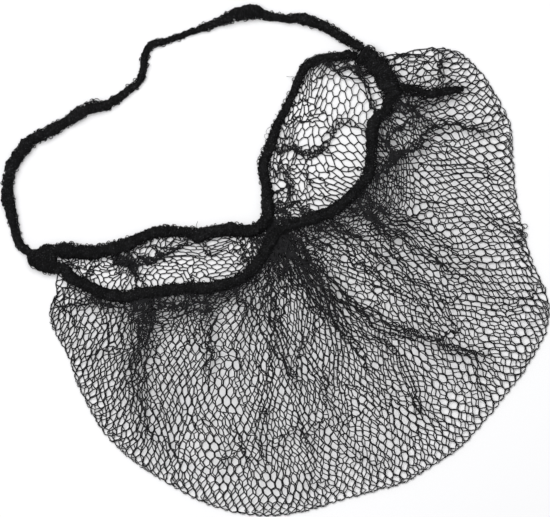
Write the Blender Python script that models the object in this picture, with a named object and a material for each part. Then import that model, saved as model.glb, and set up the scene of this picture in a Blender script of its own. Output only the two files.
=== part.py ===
"""Beard net laid on a flat surface: an elastic head loop, a two-lipped mouth and a pouch of knitted net.

Metres, +Z up. The origin is on the surface, under the middle of the laid-out net. The far side is +Y.
"""

from collections import namedtuple

import bmesh
import bpy
import numpy as np

# Overall sizes
NET_WIDTH = 0.2735        # left side of the head loop to the right side of the pouch
NET_DEPTH = 0.2548        # near edge of the pouch to the far side of the head loop
POUCH_LOFT = 0.0076       # height of the front layer over the surface, clear of its folds
CORNER_LOFT = 0.35        # share of that height left beside the two corners
FOLD_RISE = 0.0030        # height of the tallest fold over the front layer
NET_WALL = 0.0010         # one layer of knitted net
CLEARANCE = 0.0003        # gap between neighbouring pieces

# Elastic bands, wound in gathered net
LOOP_BAND = 0.0050        # width of the head loop
BACK_BAND = 0.0060        # width of the mouth's back lip
FRONT_BAND = 0.0057       # width of the mouth's front lip
TAIL_BAND = 0.0044        # width of the loose rolled end
BAND_HEIGHT = 0.90        # height of a band, as a share of its width
BAND_FLAT = 0.80          # how far down a band's round section goes before it is flat

# Bunched corners
LEFT_GATHER = 0.0160      # greatest width of the left corner
RIGHT_GATHER = 0.0125     # greatest width of the right corner
GATHER_HEIGHT = 0.0066    # height of both corners

# Fineness of the meshes
CURVE_POINTS = 40         # points worked out on a smooth curve for each of its rows
SMOOTH_ANGLE = 0.7        # faces that meet at less than this angle, in radians, are shaded as one
BAND_SIDES = 10
BAND_STEP = 0.0032        # spacing of a band's rings
NET_COLUMNS = 76          # along the pouch's outline
NET_ROWS = 13             # from the outline to the front lip
NET_REFINING = 6          # how much finer the front layer is read to lay a band on it
EDGE_POWER = 4.0          # how steeply the front layer rises from its outline
CORNER_POWER = 4.0        # how late it comes down again towards the corners
FOLD_PEAK = 0.7           # under 1, a fold is tallest nearer to its outer end
LEAD = 0.0035             # straight run of a band where it leaves a corner
NET_START = 0.0090        # length of the front lip beside the left corner that carries no net

# A route's columns: across and along are shares of NET_WIDTH and NET_DEPTH from the near left corner,
# wide is a share of the band's width, and lift a share of the rise from the back layer to the crossing.
Station = namedtuple("Station", "across along wide lift", defaults=(0.0,))

HEAD_LOOP_ROUTE = [
    Station(0.038, 0.525, 0.80),
    Station(0.029, 0.543, 0.80),
    Station(0.024, 0.566, 0.85),
    Station(0.018, 0.594, 1.10),
    Station(0.013, 0.617, 1.25),
    Station(0.012, 0.650, 1.10),
    Station(0.018, 0.680, 1.20),
    Station(0.033, 0.707, 1.30),
    Station(0.060, 0.737, 1.10),
    Station(0.089, 0.753, 1.15),
    Station(0.119, 0.771, 1.00),
    Station(0.144, 0.790, 1.20),
    Station(0.166, 0.800, 1.20),
    Station(0.195, 0.804, 0.90),
    Station(0.215, 0.818, 0.80),
    Station(0.236, 0.836, 0.75),
    Station(0.253, 0.852, 0.70),
    Station(0.260, 0.876, 0.65),
    Station(0.263, 0.902, 0.65),
    Station(0.273, 0.920, 0.65),
    Station(0.300, 0.929, 0.55),
    Station(0.336, 0.943, 0.50),
    Station(0.373, 0.957, 0.70),
    Station(0.404, 0.970, 0.90),
    Station(0.433, 0.982, 1.30),
    Station(0.462, 0.986, 1.40),
    Station(0.488, 0.979, 0.85),
    Station(0.519, 0.974, 0.75),
    Station(0.548, 0.974, 1.10),
    Station(0.574, 0.966, 1.05),
    Station(0.601, 0.953, 1.00),
    Station(0.623, 0.939, 0.95),
    Station(0.640, 0.927, 0.90),
]

BACK_RIM_ROUTE = [
    Station(0.126, 0.519, 1.25),
    Station(0.163, 0.514, 1.15),
    Station(0.199, 0.521, 1.15),
    Station(0.227, 0.529, 1.10),
    Station(0.254, 0.541, 1.00),
    Station(0.281, 0.553, 0.90),
    Station(0.312, 0.556, 0.85),
    Station(0.336, 0.555, 0.85),
    Station(0.364, 0.551, 1.00),
    Station(0.391, 0.556, 1.00),
    Station(0.419, 0.559, 1.05),
    Station(0.450, 0.557, 1.05),
    Station(0.473, 0.564, 1.05),
    Station(0.486, 0.584, 1.00),
    Station(0.488, 0.611, 0.95),
    Station(0.487, 0.637, 0.85),
    Station(0.482, 0.662, 0.80),
    Station(0.478, 0.678, 0.80),
    Station(0.482, 0.699, 0.80),
    Station(0.492, 0.725, 0.80),
    Station(0.500, 0.750, 0.75),
    Station(0.510, 0.776, 0.60),
    Station(0.523, 0.803, 0.60),
    Station(0.535, 0.829, 0.60),
    Station(0.545, 0.857, 0.65),
    Station(0.556, 0.878, 0.70),
    Station(0.574, 0.892, 0.65),
    Station(0.601, 0.898, 0.65),
    Station(0.625, 0.900, 0.70),
]

FRONT_RIM_ROUTE = [
    Station(0.126, 0.467, 1.00, 0.03),
    Station(0.148, 0.454, 1.00, 0.18),
    Station(0.172, 0.441, 1.00, 0.38),
    Station(0.196, 0.432, 1.05, 0.58),
    Station(0.221, 0.429, 1.05, 0.75),
    Station(0.254, 0.433, 1.05, 0.90),
    Station(0.283, 0.437, 1.00, 1.00),
    Station(0.312, 0.441, 1.00, 1.00),
    Station(0.354, 0.444, 1.00, 1.00),
    Station(0.388, 0.446, 1.00, 1.00),
    Station(0.418, 0.454, 1.00, 1.00),
    Station(0.442, 0.466, 1.00, 1.00),
    Station(0.463, 0.485, 1.00, 1.00),
    Station(0.479, 0.507, 1.00, 1.00),
    Station(0.489, 0.531, 1.00, 1.00),
    Station(0.501, 0.550, 1.00, 1.00),
    Station(0.521, 0.563, 1.00, 1.00),
    Station(0.547, 0.572, 1.00, 1.00),
    Station(0.583, 0.586, 1.00, 1.00),
    Station(0.613, 0.601, 1.00, 1.00),
    Station(0.638, 0.623, 1.00, 1.00),
    Station(0.658, 0.647, 1.00, 0.96),
    Station(0.673, 0.674, 1.00, 0.88),
    Station(0.677, 0.705, 1.00, 0.76),
    Station(0.678, 0.735, 1.00, 0.62),
    Station(0.680, 0.757, 1.00, 0.50),
    Station(0.689, 0.779, 1.00, 0.42),
]

TAIL_ROUTE = [
    Station(0.764, 0.829, 1.00),
    Station(0.784, 0.825, 1.05),
    Station(0.806, 0.829, 0.95),
    Station(0.828, 0.833, 0.75),
    Station(0.846, 0.835, 0.40),
]

# The corners' own routes; wide is a share of each corner's greatest width.
LEFT_GATHER_ROUTE = [
    Station(0.053, 0.513, 0.32),
    Station(0.062, 0.506, 0.60),
    Station(0.079, 0.502, 0.88),
    Station(0.100, 0.501, 1.00),
]

RIGHT_GATHER_ROUTE = [
    Station(0.656, 0.905, 0.88),
    Station(0.675, 0.892, 0.94),
    Station(0.694, 0.872, 1.00),
    Station(0.708, 0.850, 0.98),
    Station(0.716, 0.827, 0.80),
    Station(0.708, 0.802, 0.56),
]

# Where a band leaves a corner's flat end, sideways from its middle, as a share of that end's width.
LEFT_SEATS = {"head_loop": 0.0, "back_rim": -0.28, "front_rim": 0.28}
RIGHT_SEATS = {"head_loop": -0.24, "back_rim": 0.25, "front_rim": 0.0}
CROSSED_ROWS = slice(12, 14)  # rows of the back lip's route where the front lip lies on it
TAIL_SEAT = 0.80          # share of the right corner's length at which the rolled end leaves it
NET_SEAT = 0.38           # share of that length at which the front layer ends

# Outline of the pouch, where the net is folded from its front layer to its back layer
Corner = namedtuple("Corner", "across along")

POUCH_OUTLINE = [
    Corner(0.113, 0.446),
    Corner(0.099, 0.423),
    Corner(0.091, 0.394),
    Corner(0.099, 0.362),
    Corner(0.117, 0.327),
    Corner(0.131, 0.295),
    Corner(0.142, 0.256),
    Corner(0.161, 0.215),
    Corner(0.183, 0.172),
    Corner(0.218, 0.131),
    Corner(0.258, 0.095),
    Corner(0.309, 0.062),
    Corner(0.364, 0.029),
    Corner(0.422, 0.008),
    Corner(0.492, 0.000),
    Corner(0.556, 0.009),
    Corner(0.620, 0.030),
    Corner(0.684, 0.049),
    Corner(0.739, 0.066),
    Corner(0.784, 0.095),
    Corner(0.836, 0.132),
    Corner(0.876, 0.176),
    Corner(0.912, 0.224),
    Corner(0.949, 0.273),
    Corner(0.974, 0.317),
    Corner(0.994, 0.358),
    Corner(1.000, 0.409),
    Corner(0.992, 0.444),
    Corner(0.971, 0.490),
    Corner(0.956, 0.546),
    Corner(0.940, 0.621),
    Corner(0.934, 0.696),
    Corner(0.927, 0.770),
    Corner(0.907, 0.815),
    Corner(0.876, 0.866),
    Corner(0.841, 0.901),
    Corner(0.802, 0.914),
    Corner(0.766, 0.902),
    Corner(0.738, 0.901),
    Corner(0.716, 0.904),
]

# Folds of the front layer. mouth and edge are shares of the way along the front lip and the outline,
# start and reach are shares of the way in from the outline, rise of FOLD_RISE and wide of NET_WIDTH.
Fold = namedtuple("Fold", "mouth edge start reach rise wide")

FRONT_FOLDS = [
    Fold(0.10, 0.14, 0.35, 1.00, 0.45, 0.018),
    Fold(0.19, 0.21, 0.15, 1.00, 0.70, 0.026),
    Fold(0.30, 0.32, 0.40, 1.00, 0.60, 0.020),
    Fold(0.37, 0.40, 0.45, 1.00, 0.50, 0.020),
    Fold(0.47, 0.44, 0.30, 0.95, 1.00, 0.030),
    Fold(0.60, 0.60, 0.15, 0.90, 0.90, 0.024),
    Fold(0.70, 0.68, 0.30, 0.85, 0.50, 0.022),
    Fold(0.82, 0.80, 0.30, 0.95, 0.80, 0.028),
]

# Colour, roughness and metallic value of each finish
FINISHES = {
    "shirred_elastic": ((0.018, 0.018, 0.019, 1.0), 0.85, 0.0),
    "net_thread": ((0.022, 0.022, 0.023, 1.0), 0.70, 0.0),
}


def clear_scene():
    for old in list(bpy.data.objects):
        bpy.data.objects.remove(old, do_unlink=True)


def finish(name):
    """The finish's material, made the first time that it is asked for."""
    found = bpy.data.materials.get(name)
    if found:
        return found
    colour, roughness, metallic = FINISHES[name]
    made = bpy.data.materials.new(name)
    made.use_nodes = True
    shader = made.node_tree.nodes["Principled BSDF"]
    shader.inputs["Base Color"].default_value = colour
    shader.inputs["Roughness"].default_value = roughness
    shader.inputs["Metallic"].default_value = metallic
    made.diffuse_color = colour
    return made


def add_piece(name, corners, faces, material):
    """A closed, outward-facing mesh object."""
    mesh = bpy.data.meshes.new(name)
    mesh.from_pydata([tuple(c) for c in corners], [], faces)
    shell = bmesh.new()
    shell.from_mesh(mesh)
    bmesh.ops.recalc_face_normals(shell, faces=shell.faces)
    shell.to_mesh(mesh)
    shell.free()
    mesh.materials.append(finish(material))
    mesh.shade_smooth()
    mesh.set_sharp_from_angle(angle=SMOOTH_ANGLE)
    piece = bpy.data.objects.new(name, mesh)
    bpy.context.scene.collection.objects.link(piece)
    return piece


def place(row):
    """Where a table's row lies, seen from above."""
    return np.array([(row.across - 0.5) * NET_WIDTH, (row.along - 0.5) * NET_DEPTH])


def along_curve(curve):
    """Distance along a curve to each of its points, seen from above."""
    steps = np.linalg.norm(np.diff(curve[:, :2], axis=0), axis=1)
    return np.concatenate([[0.0], np.cumsum(steps)])


def even(curve, count):
    """The curve again, as count points at an even spacing."""
    there = along_curve(curve)
    wanted = np.linspace(0.0, there[-1], count)
    return np.stack([np.interp(wanted, there, column) for column in curve.T], axis=1)


def smooth(rows):
    """A fine smooth curve through the rows, with every column eased the same way."""
    rows = np.asarray(rows, float)
    there = along_curve(rows)
    slopes = np.gradient(rows, there, axis=0)
    fine = np.linspace(0.0, there[-1], CURVE_POINTS * len(rows))
    span = np.clip(np.searchsorted(there, fine, side="right") - 1, 0, len(rows) - 2)
    length = (there[span + 1] - there[span])[:, None]
    u = (fine - there[span])[:, None] / length
    start = rows[span] * (1 + 2 * u) * (1 - u) ** 2 + slopes[span] * length * u * (1 - u) ** 2
    stop = rows[span + 1] * (3 - 2 * u) * u**2 - slopes[span + 1] * length * u**2 * (1 - u)
    return start + stop


def heading(curve):
    """Unit direction of travel at each point, seen from above."""
    way = np.gradient(curve[:, :2], axis=0)
    return way / np.linalg.norm(way, axis=1)[:, None]


def rightward(way):
    """Unit direction to the right of travel."""
    return np.stack([way[..., 1], -way[..., 0]], axis=-1)


def corner_curve(route, width):
    """A corner's middle line: x, y, width and the height of its underside."""
    return smooth([(*place(row), row.wide * width, 0.0) for row in route])


def seats(corner, end, share):
    """Two points of a band that leaves a corner's flat end, the first one a clearance off it."""
    way = heading(corner)[end]
    outward = way if end else -way
    root = corner[end, :2] + rightward(way) * share * corner[end, 2] + outward * CLEARANCE
    return root, root + outward * LEAD


def band_curve(route, width, first=(), last=()):
    """A band's middle line through its own rows, with the points where corners hold its two ends."""
    rows = [(*place(row), row.wide * width, row.lift) for row in route]
    head = [(*point, rows[0][2], rows[0][3]) for point in first]
    tail = [(*point, rows[-1][2], rows[-1][3]) for point in last]
    return smooth(head + rows + tail)


def add_band(name, curve, base, material, height=None):
    """A band of D-shaped section, flat underneath at the height base, along a curve seen from above."""
    rings = max(4, round(along_curve(curve)[-1] / BAND_STEP))
    base = np.broadcast_to(base, len(curve))
    line = even(np.column_stack([curve[:, :3], base, rightward(heading(curve))]), rings)
    aside = line[:, 4:6] / np.linalg.norm(line[:, 4:6], axis=1)[:, None]
    turn = (np.arange(BAND_SIDES) + 0.5) * 2 * np.pi / BAND_SIDES
    across = np.cos(turn) / 2
    upward = (np.maximum(np.sin(turn), -BAND_FLAT) + BAND_FLAT) / (1 + BAND_FLAT)
    tall = np.full(rings, height) if height else line[:, 2] * BAND_HEIGHT
    plan = line[:, None, :2] + aside[:, None, :] * (across[None, :] * line[:, 2:3])[..., None]
    level = line[:, 3:4] + upward[None, :] * tall[:, None]
    corners = np.concatenate([plan, level[..., None]], axis=2).reshape(-1, 3)
    faces = [tuple(range(BAND_SIDES))]
    faces.append(tuple(range((rings - 1) * BAND_SIDES, rings * BAND_SIDES)))
    for ring in range(rings - 1):
        for side in range(BAND_SIDES):
            a = ring * BAND_SIDES + side
            b = ring * BAND_SIDES + (side + 1) % BAND_SIDES
            faces.append((a, b, b + BAND_SIDES, a + BAND_SIDES))
    return add_piece(name, corners, faces, material)


def lip_edge(curve, level, gap):
    """The line just right of a band, where its net begins, at the given height."""
    aside = rightward(heading(curve))
    plan = curve[:, :2] + aside * (curve[:, 2:3] / 2 + gap)
    return np.column_stack([plan, np.broadcast_to(level, len(curve))])


def add_back_net(outline, mouth):
    """The back layer: one flat sheet on the surface, from the outline up to the back lip."""
    border = np.concatenate([outline[:, :2], mouth[::-1, :2]])
    count = len(border)
    low = np.column_stack([border, np.zeros(count)])
    high = np.column_stack([border, np.full(count, NET_WALL)])
    faces = [tuple(range(count)), tuple(range(count, 2 * count))]
    for i in range(count):
        j = (i + 1) % count
        faces.append((i, j, j + count, i + count))
    return add_piece("back_net", np.concatenate([low, high]), faces, "net_thread")


def front_surface(outline, mouth):
    """Middle of the front layer on a grid: rows from the outline in to the front lip, columns along them."""
    inward = np.linspace(0.0, 1.0, NET_ROWS + 1)[:, None]
    plan = outline[None, :, :2] * (1 - inward[..., None]) + mouth[None, :, :2] * inward[..., None]
    edge = NET_WALL + CLEARANCE + NET_WALL / 2
    share = np.linspace(0.0, 1.0, NET_COLUMNS + 1)[None, :]
    loft = POUCH_LOFT * (1 - (1 - CORNER_LOFT) * np.abs(2 * share - 1) ** CORNER_POWER)
    crown = loft * (1 - inward**2) + mouth[None, :, 2] * inward**2
    level = edge + (crown - edge) * (1 - (1 - inward) ** EDGE_POWER)
    run = along_curve(outline)[-1] * (1 - inward) + along_curve(mouth)[-1] * inward
    for fold in FRONT_FOLDS:
        middle = fold.edge + (fold.mouth - fold.edge) * inward
        off = (share - middle) * run / (fold.wide * NET_WIDTH)
        reach = np.clip((inward - fold.start) / (fold.reach - fold.start), 0.0, 1.0)
        along = np.sin(np.pi * reach**FOLD_PEAK) ** 2
        level = level + fold.rise * FOLD_RISE * np.exp(-(off**2)) * along
    return np.concatenate([plan, level[..., None]], axis=2)


def add_front_net(surface):
    """The front layer: the surface given a wall, open along the front lip."""
    rows, columns = surface.shape[:2]
    half = np.array([0.0, 0.0, NET_WALL / 2])
    corners = np.concatenate([(surface + half).reshape(-1, 3), (surface - half).reshape(-1, 3)])
    under = rows * columns
    index = np.arange(under).reshape(rows, columns)
    faces = []
    for r in range(rows - 1):
        for c in range(columns - 1):
            quad = (index[r, c], index[r, c + 1], index[r + 1, c + 1], index[r + 1, c])
            faces.append(tuple(int(i) for i in quad))
            faces.append(tuple(int(i) + under for i in quad[::-1]))
    rim = [*index[0, :], *index[1:, -1], *index[-1, -2::-1], *index[-2:0:-1, 0]]
    for a, b in zip(rim, rim[1:] + rim[:1]):
        faces.append((int(a), int(b), int(b) + under, int(a) + under))
    return add_piece("front_net", corners, faces, "net_thread")


def refined(surface, times):
    """The same grid with more points, on the flat facets between the old ones."""
    for _ in range(2):
        old = np.arange(len(surface))
        new = np.linspace(0, old[-1], times * old[-1] + 1)
        low = np.minimum(new.astype(int), old[-1] - 1)
        part = (new - low)[:, None, None]
        surface = (surface[low] * (1 - part) + surface[low + 1] * part).transpose(1, 0, 2)
    return surface


def resting_height(curve, surface):
    """How high each point of a loose band lies so that it clears the front layer under it."""
    fine = refined(surface, NET_REFINING)
    spacing = np.linalg.norm(fine[1:] - fine[:-1], axis=2).max()
    net = fine.reshape(-1, 3)
    far = np.linalg.norm(curve[:, None, :2] - net[None, :, :2], axis=2)
    under = np.where(far < curve[:, 2:3] / 2 + spacing, net[None, :, 2], 0.0)
    return under.max(axis=1) + NET_WALL / 2 + CLEARANCE


def section_width(height):
    """Width of a D-shaped section at a share of its height, as a share of its full width."""
    return np.sqrt(1 - (height * (1 + BAND_FLAT) - BAND_FLAT) ** 2)


def build():
    clear_scene()
    left = corner_curve(LEFT_GATHER_ROUTE, LEFT_GATHER)
    right = corner_curve(RIGHT_GATHER_ROUTE, RIGHT_GATHER)

    loop_ends = seats(left, 0, LEFT_SEATS["head_loop"]), seats(right, 0, RIGHT_SEATS["head_loop"])
    back_ends = seats(left, -1, LEFT_SEATS["back_rim"]), seats(right, 0, RIGHT_SEATS["back_rim"])
    front_ends = seats(left, -1, LEFT_SEATS["front_rim"]), seats(right, -1, RIGHT_SEATS["front_rim"])
    loop = band_curve(HEAD_LOOP_ROUTE, LOOP_BAND, loop_ends[0], loop_ends[1][::-1])
    back = band_curve(BACK_RIM_ROUTE, BACK_BAND, back_ends[0], back_ends[1][::-1])
    front = band_curve(FRONT_RIM_ROUTE, FRONT_BAND, front_ends[0], front_ends[1][::-1])

    # The front lip lies on the back layer at its ends, and on the back lip where it crosses it.
    on_net = NET_WALL + CLEARANCE
    crossed = max(row.wide for row in BACK_RIM_ROUTE[CROSSED_ROWS])
    on_rim = BACK_BAND * BAND_HEIGHT * crossed + CLEARANCE
    front_base = on_net + (on_rim - on_net) * front[:, 3]

    add_band("head_loop", loop, 0.0, "shirred_elastic")
    add_band("back_rim", back, 0.0, "shirred_elastic")
    add_band("front_rim", front, front_base, "shirred_elastic")
    add_band("left_gather", left, 0.0, "shirred_elastic", height=GATHER_HEIGHT)
    add_band("right_gather", right, on_net, "shirred_elastic", height=GATHER_HEIGHT)

    # The front layer starts along the front lip, and then along the right corner's outer side.
    outline = even(smooth([place(row) for row in POUCH_OUTLINE]), NET_COLUMNS + 1)
    climb = right[round(len(right) * NET_SEAT) :][::-1]
    lip = lip_edge(front, front_base + BAND_HEIGHT * front[:, 2] / 2, 2 * CLEARANCE)
    lip = lip[along_curve(front) > NET_START]
    flank = lip_edge(climb, on_net + GATHER_HEIGHT / 2, 2 * CLEARANCE)
    mouth = even(np.concatenate([lip, flank]), NET_COLUMNS + 1)
    surface = front_surface(outline, mouth)
    add_front_net(surface)
    add_back_net(outline, even(lip_edge(back, 0.0, CLEARANCE), NET_COLUMNS + 1))

    # The rolled end lies on the front layer, and leaves the right corner's outer side at that height.
    root = right[round(len(right) * TAIL_SEAT)]
    outward = -rightward(heading(right)[round(len(right) * TAIL_SEAT)])
    seat_height = 0.5
    for _ in range(2):
        start = root[:2] + outward * (section_width(seat_height) * root[2] / 2 + CLEARANCE)
        rolled = band_curve(TAIL_ROUTE, TAIL_BAND, (start, start + outward * LEAD))
        base = resting_height(rolled, surface)
        seat_height = min((base[0] - on_net) / GATHER_HEIGHT, 1.0)
    add_band("gather_tail", rolled, base, "shirred_elastic")


build()
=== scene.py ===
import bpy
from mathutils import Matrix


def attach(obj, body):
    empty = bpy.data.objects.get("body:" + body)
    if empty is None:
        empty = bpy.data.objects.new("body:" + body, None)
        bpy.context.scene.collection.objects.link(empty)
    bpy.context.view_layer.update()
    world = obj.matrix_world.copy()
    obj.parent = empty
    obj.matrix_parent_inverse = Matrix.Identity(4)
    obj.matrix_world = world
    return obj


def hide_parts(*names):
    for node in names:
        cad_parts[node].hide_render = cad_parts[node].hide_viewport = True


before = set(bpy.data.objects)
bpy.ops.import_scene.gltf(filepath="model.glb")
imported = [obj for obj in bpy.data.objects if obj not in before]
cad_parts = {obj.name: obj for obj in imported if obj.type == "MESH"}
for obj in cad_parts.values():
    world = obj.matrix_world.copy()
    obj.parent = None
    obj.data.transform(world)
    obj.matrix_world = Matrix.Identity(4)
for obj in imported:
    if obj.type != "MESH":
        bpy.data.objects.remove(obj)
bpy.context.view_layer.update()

import bpy
import numpy as np

# Shapes are worked out in millimetres and turned into metres when a mesh is made. Routes and the outline
# run in thousandths of the laid-out net's width and depth, from its near left corner.
metres = 0.001
laidOut = {"width": 273.5, "depth": 254.8}

print("scene: routes and outlines")

# Columns: across, along, hundredths of the band's width, hundredths of the rise to the crossing
headLoop = {
    "width": 5.0,
    "seed": 11,
    "route": [
        (38, 525, 80), (29, 543, 80), (24, 566, 85), (18, 594, 110), (13, 617, 125), (12, 650, 110),
        (18, 680, 120), (33, 707, 130), (60, 737, 110), (89, 753, 115), (119, 771, 100),
        (144, 790, 120), (166, 800, 120), (195, 804, 90), (215, 818, 80), (236, 836, 75),
        (253, 852, 70), (260, 876, 65), (263, 902, 65), (273, 920, 65), (300, 929, 55), (336, 943, 50),
        (373, 957, 70), (404, 970, 90), (433, 982, 130), (462, 986, 140), (488, 979, 85),
        (519, 974, 75), (548, 974, 110), (574, 966, 105), (601, 953, 100), (623, 939, 95),
        (640, 927, 90),
    ],
}

backRim = {
    "width": 6.0,
    "seed": 12,
    "route": [
        (126, 519, 125), (163, 514, 115), (199, 521, 115), (227, 529, 110), (254, 541, 100),
        (281, 553, 90), (312, 556, 85), (336, 555, 85), (364, 551, 100), (391, 556, 100),
        (419, 559, 105), (450, 557, 105), (473, 564, 105), (486, 584, 100), (488, 611, 95),
        (487, 637, 85), (482, 662, 80), (478, 678, 80), (482, 699, 80), (492, 725, 80), (500, 750, 75),
        (510, 776, 60), (523, 803, 60), (535, 829, 60), (545, 857, 65), (556, 878, 70), (574, 892, 65),
        (601, 898, 65), (625, 900, 70),
    ],
}

frontRim = {
    "width": 5.7,
    "seed": 13,
    "route": [
        (126, 467, 100, 3), (148, 454, 100, 18), (172, 441, 100, 38), (196, 432, 105, 58),
        (221, 429, 105, 75), (254, 433, 105, 90), (283, 437, 100, 100), (312, 441, 100, 100),
        (354, 444, 100, 100), (388, 446, 100, 100), (418, 454, 100, 100), (442, 466, 100, 100),
        (463, 485, 100, 100), (479, 507, 100, 100), (489, 531, 100, 100), (501, 550, 100, 100),
        (521, 563, 100, 100), (547, 572, 100, 100), (583, 586, 100, 100), (613, 601, 100, 100),
        (638, 623, 100, 100), (658, 647, 100, 96), (673, 674, 100, 88), (677, 705, 100, 76),
        (678, 735, 100, 62), (680, 757, 100, 50), (689, 779, 100, 42),
    ],
}

# Winding says how a gather's threads differ from the other bands', in the words that addBand takes
leftGather = {
    "width": 16.0,
    "height": 6.6,
    "leaning": -1.0,
    "seed": 14,
    "winding": {"pitch": 0.5, "wild": 1.6, "loops": 6.0, "size": 0.50, "strands": 46},
    "route": [(53, 513, 32), (62, 506, 60), (79, 502, 88), (100, 501, 100)],
}

rightGather = {
    "width": 12.5,
    "height": 6.6,
    "leaning": -1.0,
    "core": (0.84, 0.50, 0.70),
    "lump": 0.12,
    "seed": 15,
    "winding": {
        "pitch": 1.2, "wild": 0.9, "loops": 3.0, "size": 0.50, "strands": 50, "tangled": 60, "spread": 1.3,
    },
    "route": [
        (656, 905, 88), (675, 892, 94), (694, 872, 100), (708, 850, 98), (716, 827, 80), (708, 802, 56),
    ],
}

gatherTail = {
    "width": 4.4,
    "leaning": 0.0,
    "core": 0.55,
    "lump": 0.16,
    "seed": 16,
    "winding": {
        "pitch": 1.1, "wild": 1.1, "loops": 4.0, "size": 0.55, "strands": 22, "tangled": 26, "spread": 0.8,
    },
    "route": [
        (730, 840, 100), (764, 829, 100), (784, 825, 105), (806, 829, 95), (828, 833, 75),
        (846, 835, 40),
    ],
}

pouchOutline = [
    (113, 446), (99, 423), (91, 394), (99, 362), (117, 327), (131, 295), (142, 256), (161, 215),
    (183, 172), (218, 131), (258, 95), (309, 62), (364, 29), (422, 8), (492, 0), (556, 9), (620, 30),
    (684, 49), (739, 66), (784, 95), (836, 132), (876, 176), (912, 224), (949, 273), (974, 317),
    (994, 358), (1000, 409), (992, 444), (971, 490), (956, 546), (940, 621), (934, 696), (927, 770),
    (907, 815), (876, 866), (841, 901), (802, 914), (766, 902), (738, 901), (716, 904),
]

heights = {
    "onBackNet": 1.3,  # underside of what lies on the back layer
    "onBackRim": 5.97,  # underside of the front lip where it crosses the back lip
    "onFrontNet": 6.6,  # underside of the gather's tail
    "band": 0.9,  # a band's height as a share of its width, unless it has its own
    "pouchLoft": 7.6,  # middle of the front layer, clear of its folds
    "cornerLoft": 0.35,  # share of that height left beside the two corners
    "edge": 1.0,  # middle of the net along its outline
    "backNet": 0.55,  # middle of the back layer
}


# Thousandths of the laid-out width and depth turned into x and y, hundredths into shares.
def placed(rows):
    rows = np.asarray(rows, float)
    x = (rows[:, :1] / 1000 - 0.5) * laidOut["width"]
    y = (rows[:, 1:2] / 1000 - 0.5) * laidOut["depth"]
    return np.concatenate([x, y, rows[:, 2:] / 100], axis=1)


# Length run along a curve, seen from above, up to each of its points.
def alongCurve(curve):
    steps = np.hypot(*np.diff(curve[:, :2], axis=0).T)
    return np.concatenate([[0.0], np.cumsum(steps)])


# Every column of the curve at the given lengths along it, by straight steps.
def atLengths(curve, lengths):
    there = alongCurve(curve)
    return np.stack([np.interp(lengths, there, column) for column in curve.T], axis=-1)


# The curve read at that many equal steps of its length.
def evenly(curve, count):
    return atLengths(curve, np.linspace(0.0, alongCurve(curve)[-1], count))


# A cubic through every row; its slope there is the weighted mean of the slopes before and after.
def smoothly(rows, perRow=40):
    there = alongCurve(rows)
    slopes = np.gradient(rows, there, axis=0)
    fine = np.linspace(0.0, there[-1], perRow * len(rows))
    span = np.clip(np.searchsorted(there, fine, side="right") - 1, 0, len(rows) - 2)
    length = (there[span + 1] - there[span])[:, None]
    u = (fine - there[span])[:, None] / length
    start = rows[span] * (1 + 2 * u) * (1 - u) ** 2 + slopes[span] * length * u * (1 - u) ** 2
    stop = rows[span + 1] * (3 - 2 * u) * u**2 - slopes[span + 1] * length * u**2 * (1 - u)
    return start + stop


# Length of each vector, never quite nothing.
def lengthOf(vectors):
    return np.maximum(np.linalg.norm(vectors, axis=-1, keepdims=True), 1e-6)


# Unit direction of travel at each point, seen from above.
def headingOf(curve):
    way = np.gradient(curve[:, :2], axis=0)
    return way / lengthOf(way)


# A direction turned a quarter to the right, seen from above.
def rightOf(way):
    return np.stack([way[..., 1], -way[..., 0]], axis=-1)


# Share of the curve's length at which it comes nearest to each point.
def nearestShare(curve, points):
    far = np.linalg.norm(curve[:, :2] - np.asarray(points, float)[:, None], axis=2)
    there = alongCurve(curve)
    return there[far.argmin(axis=1)] / there[-1]


# White noise blurred by a bell of a reach along each axis, with a spread of one.
def softNoise(shape, reach, seed):
    noise = np.fft.fftn(np.random.default_rng(seed).normal(size=shape))
    for axis, (count, wide) in enumerate(zip(shape, reach)):
        wave = np.fft.fftfreq(count) * wide
        bell = np.exp(-2 * (np.pi * wave) ** 2)
        noise = noise * bell.reshape([-1 if a == axis else 1 for a in range(len(shape))])
    field = np.fft.ifftn(noise).real
    return field / field.std()


# From 0 at low to 1 at high, level at both ends: three t squared less two t cubed.
def smoothStep(low, high, value):
    t = np.clip((value - low) / (high - low), 0.0, 1.0)
    return t * t * (3 - 2 * t)


# An object of that name and data, in the scene.
def inScene(name, data):
    made = bpy.data.objects.new(name, data)
    bpy.context.scene.collection.objects.link(made)
    return made


# A mesh piece from a surface: points in millimetres, and arrays of faces, each of one number of corners.
def addPiece(name, surface, material, node=None):
    mesh = bpy.data.meshes.new(name)
    points, faces = surface
    points = np.asarray(points, np.float32) * np.float32(metres)
    corners = np.concatenate([f.ravel() for f in faces]).astype(np.int32)
    sides = np.concatenate([np.full(len(f), f.shape[1], np.int32) for f in faces])
    mesh.vertices.add(len(points))
    mesh.vertices.foreach_set("co", points.ravel())
    mesh.loops.add(len(corners))
    mesh.loops.foreach_set("vertex_index", corners)
    mesh.polygons.add(len(sides))
    mesh.polygons.foreach_set("loop_start", (np.cumsum(sides) - sides).astype(np.int32))
    mesh.polygons.foreach_set("loop_total", sides)
    mesh.polygons.foreach_set("use_smooth", np.ones(len(sides), bool))
    mesh.update(calc_edges=True)
    mesh.validate()
    mesh.materials.append(material)
    piece = inScene(name, mesh)
    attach(piece, "root")
    if node:
        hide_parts(node)
    print("scene:", name, "triangles", int((sides - 2).sum()))
    return piece


# Several surfaces made one.
def together(*surfaces):
    starts = np.cumsum([0] + [len(points) for points, _ in surfaces])
    faces = [array + start for start, (_, arrays) in zip(starts, surfaces) for array in arrays]
    return np.concatenate([points for points, _ in surfaces]), faces


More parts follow.
